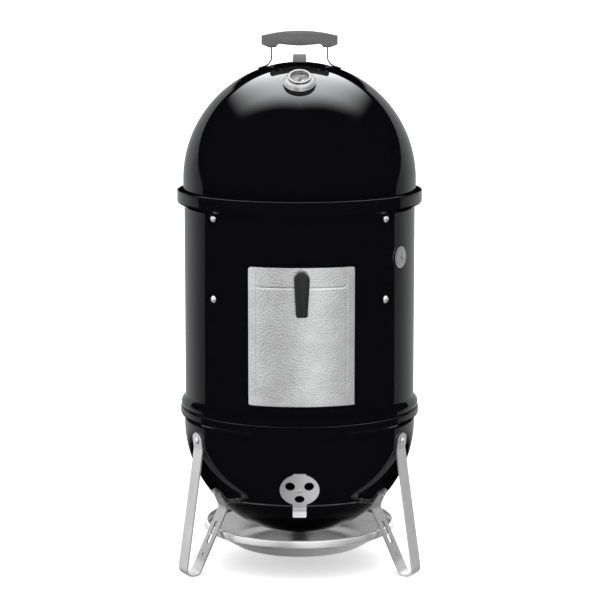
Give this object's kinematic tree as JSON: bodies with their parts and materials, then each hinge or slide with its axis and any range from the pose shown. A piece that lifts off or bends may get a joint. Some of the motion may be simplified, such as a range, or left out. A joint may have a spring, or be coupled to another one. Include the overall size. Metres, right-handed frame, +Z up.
{
  "type": "vertical water smoker",
  "caption": "Upright charcoal water smoker: domed lid, barrel with tilting door, bowl on bent strap legs, vents, water pan and grates.",
  "frame": {"origin": "on the vertical axis of the shells, at the level of the surface that the legs stand on", "axes": "+Z up, front with the door and thermometer towards -Y, +X to the right of someone facing the front"},
  "size_m": [0.4803, 0.5151, 1.054],
  "materials": {
    "enamel": "glossy black porcelain enamel on steel",
    "strap_metal": "satin rolled sheet",
    "door_metal": "bright, pebbled",
    "bolts": "nickel plated",
    "nylon": "moulded glass-filled nylon",
    "grip_nylon": "moulded glass-filled nylon, fine grain",
    "silicone": "soft, matt",
    "seal": "matt",
    "polished": "polished",
    "dial_face": "printed plate",
    "lens_glass": "clear",
    "pointer": "matt black",
    "plated_wire": "plated steel rod",
    "steel_sheet": "bare steel"
  },
  "bodies": {
    "bowl": {"bowl": "enamel", "leg_left": "strap_metal", "leg_right": "strap_metal", "leg_rear": "strap_metal", "leg_bolts": "bolts", "leg_nuts": "bolts", "heat_shield": "strap_metal", "charcoal_grate_supports": "enamel", "bowl_damper_rivets": "bolts"},
    "bowl_damper_front": {"bowl_damper_front": "strap_metal"},
    "bowl_damper_left": {"bowl_damper_left": "strap_metal"},
    "bowl_damper_right": {"bowl_damper_right": "strap_metal"},
    "charcoal_grate": {"charcoal_grate": "plated_wire"},
    "charcoal_ring": {"charcoal_ring": "steel_sheet"},
    "barrel": {"barrel": "enamel", "probe_eyelet": "polished", "probe_grommet": "silicone", "grate_bracket_front_left": "steel_sheet", "grate_bracket_front_right": "steel_sheet", "grate_bracket_rear_left": "steel_sheet", "grate_bracket_rear_right": "steel_sheet", "bracket_bolts": "bolts", "bracket_nuts": "bolts"},
    "door": {"door_panel": "door_metal", "door_hooks": "steel_sheet"},
    "latch": {"door_handle": "nylon", "latch_screw": "bolts", "latch_bush": "bolts", "latch_tongue": "steel_sheet", "latch_nut": "bolts"},
    "water_pan": {"water_pan": "enamel"},
    "lower_grate": {"lower_grate": "plated_wire", "lower_grate_handles": "plated_wire"},
    "upper_grate": {"upper_grate": "plated_wire", "upper_grate_handles": "plated_wire"},
    "lid": {"lid": "enamel", "lid_damper_rivet": "bolts", "handle_grip": "grip_nylon", "handle_bracket_left": "enamel", "handle_bracket_right": "enamel", "handle_screws": "bolts", "thermometer_gasket": "seal", "thermometer_bezel": "polished", "thermometer_lens": "lens_glass", "thermometer_dial": "dial_face", "thermometer_stem": "steel_sheet", "thermometer_nut": "steel_sheet"},
    "lid_damper": {"lid_damper": "strap_metal"},
    "thermometer_needle": {"thermometer_needle": "pointer"}
  },
  "joints": [
    {"name": "barrel_lift", "type": "slide", "parent": "bowl", "child": "barrel", "axis": [0, 0, 1], "range_m": [0, 0.35]},
    {"name": "lid_lift", "type": "slide", "parent": "barrel", "child": "lid", "axis": [0, 0, 1], "range_m": [0, 0.35]},
    {"name": "door_tilt", "type": "hinge", "parent": "barrel", "child": "door", "pos_m": [0.00398, -0.22797, 0.356], "axis": [0.9998, 0.0175, 0], "range_deg": [0, 60]},
    {"name": "latch_turn", "type": "hinge", "parent": "door", "child": "latch", "pos_m": [0.00398, -0.22797, 0.6], "axis": [0.0175, -0.9998, 0], "range_deg": [0, 90]},
    {"name": "lid_damper_turn", "type": "hinge", "parent": "lid", "child": "lid_damper", "pos_m": [0, 0, 0.766], "axis": [0, 0.5299, 0.848], "range_deg": [0, 60]},
    {"name": "bowl_damper_front_turn", "type": "hinge", "parent": "bowl", "child": "bowl_damper_front", "pos_m": [0, 0, 0.288], "axis": [0, -0.8988, -0.4384], "range_deg": [0, 60]},
    {"name": "bowl_damper_left_turn", "type": "hinge", "parent": "bowl", "child": "bowl_damper_left", "pos_m": [0, 0, 0.288], "axis": [-0.7784, 0.4494, -0.4384], "range_deg": [0, 60]},
    {"name": "bowl_damper_right_turn", "type": "hinge", "parent": "bowl", "child": "bowl_damper_right", "pos_m": [0, 0, 0.288], "axis": [0.7784, 0.4494, -0.4384], "range_deg": [0, 60]},
    {"name": "upper_grate_lift", "type": "slide", "parent": "barrel", "child": "upper_grate", "axis": [0, 0, 1], "range_m": [0, 0.025]},
    {"name": "lower_grate_lift", "type": "slide", "parent": "barrel", "child": "lower_grate", "axis": [0, 0, 1], "range_m": [0, 0.06]},
    {"name": "water_pan_lift", "type": "slide", "parent": "barrel", "child": "water_pan", "axis": [0, 0, 1], "range_m": [0, 0.04]},
    {"name": "charcoal_grate_lift", "type": "slide", "parent": "bowl", "child": "charcoal_grate", "axis": [0, 0, 1], "range_m": [0, 0.012]},
    {"name": "charcoal_ring_lift", "type": "slide", "parent": "charcoal_grate", "child": "charcoal_ring", "axis": [0, 0, 1], "range_m": [0, 0.012]},
    {"name": "needle_turn", "type": "hinge", "parent": "lid", "child": "thermometer_needle", "pos_m": [0, 0, 0.766], "axis": [0, -0.5299, 0.848], "range_deg": [-100, 170], "stiffness_Nm_per_rad": 0.0003}
  ]
}
